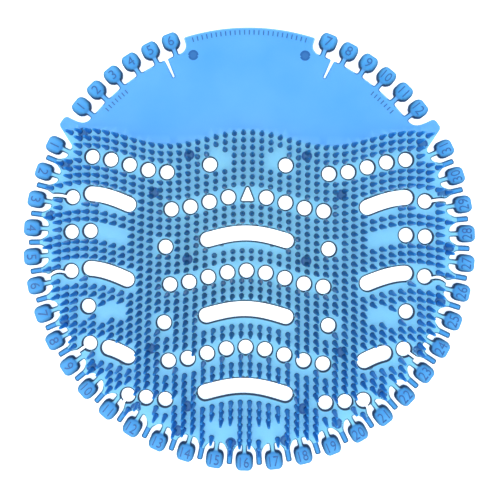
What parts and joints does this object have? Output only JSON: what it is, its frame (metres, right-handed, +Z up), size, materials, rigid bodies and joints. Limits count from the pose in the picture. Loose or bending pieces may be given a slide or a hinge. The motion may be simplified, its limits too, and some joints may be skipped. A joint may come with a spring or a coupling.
{
  "type": "urinal deodorizer screen",
  "caption": "Flexible round urinal screen moulded in one piece: a thin plate with rows of tapered bristles, drain holes and slots, and tear-off date and month tabs round its rim.",
  "frame": {"origin": "middle of the bounding box's bottom face, on the surface that the feet stand on", "axes": "+Z up, out of the bristled face; +Y towards the smooth crest between the month tabs; +X to the right, across the widest span"},
  "size_m": [0.19, 0.1856, 0.0101],
  "materials": {
    "blue_soft_plastic": "soft translucent sky-blue moulded plastic with a light gloss"
  },
  "bodies": {
    "root": {"screen": "blue_soft_plastic"}
  },
  "joints": []
}
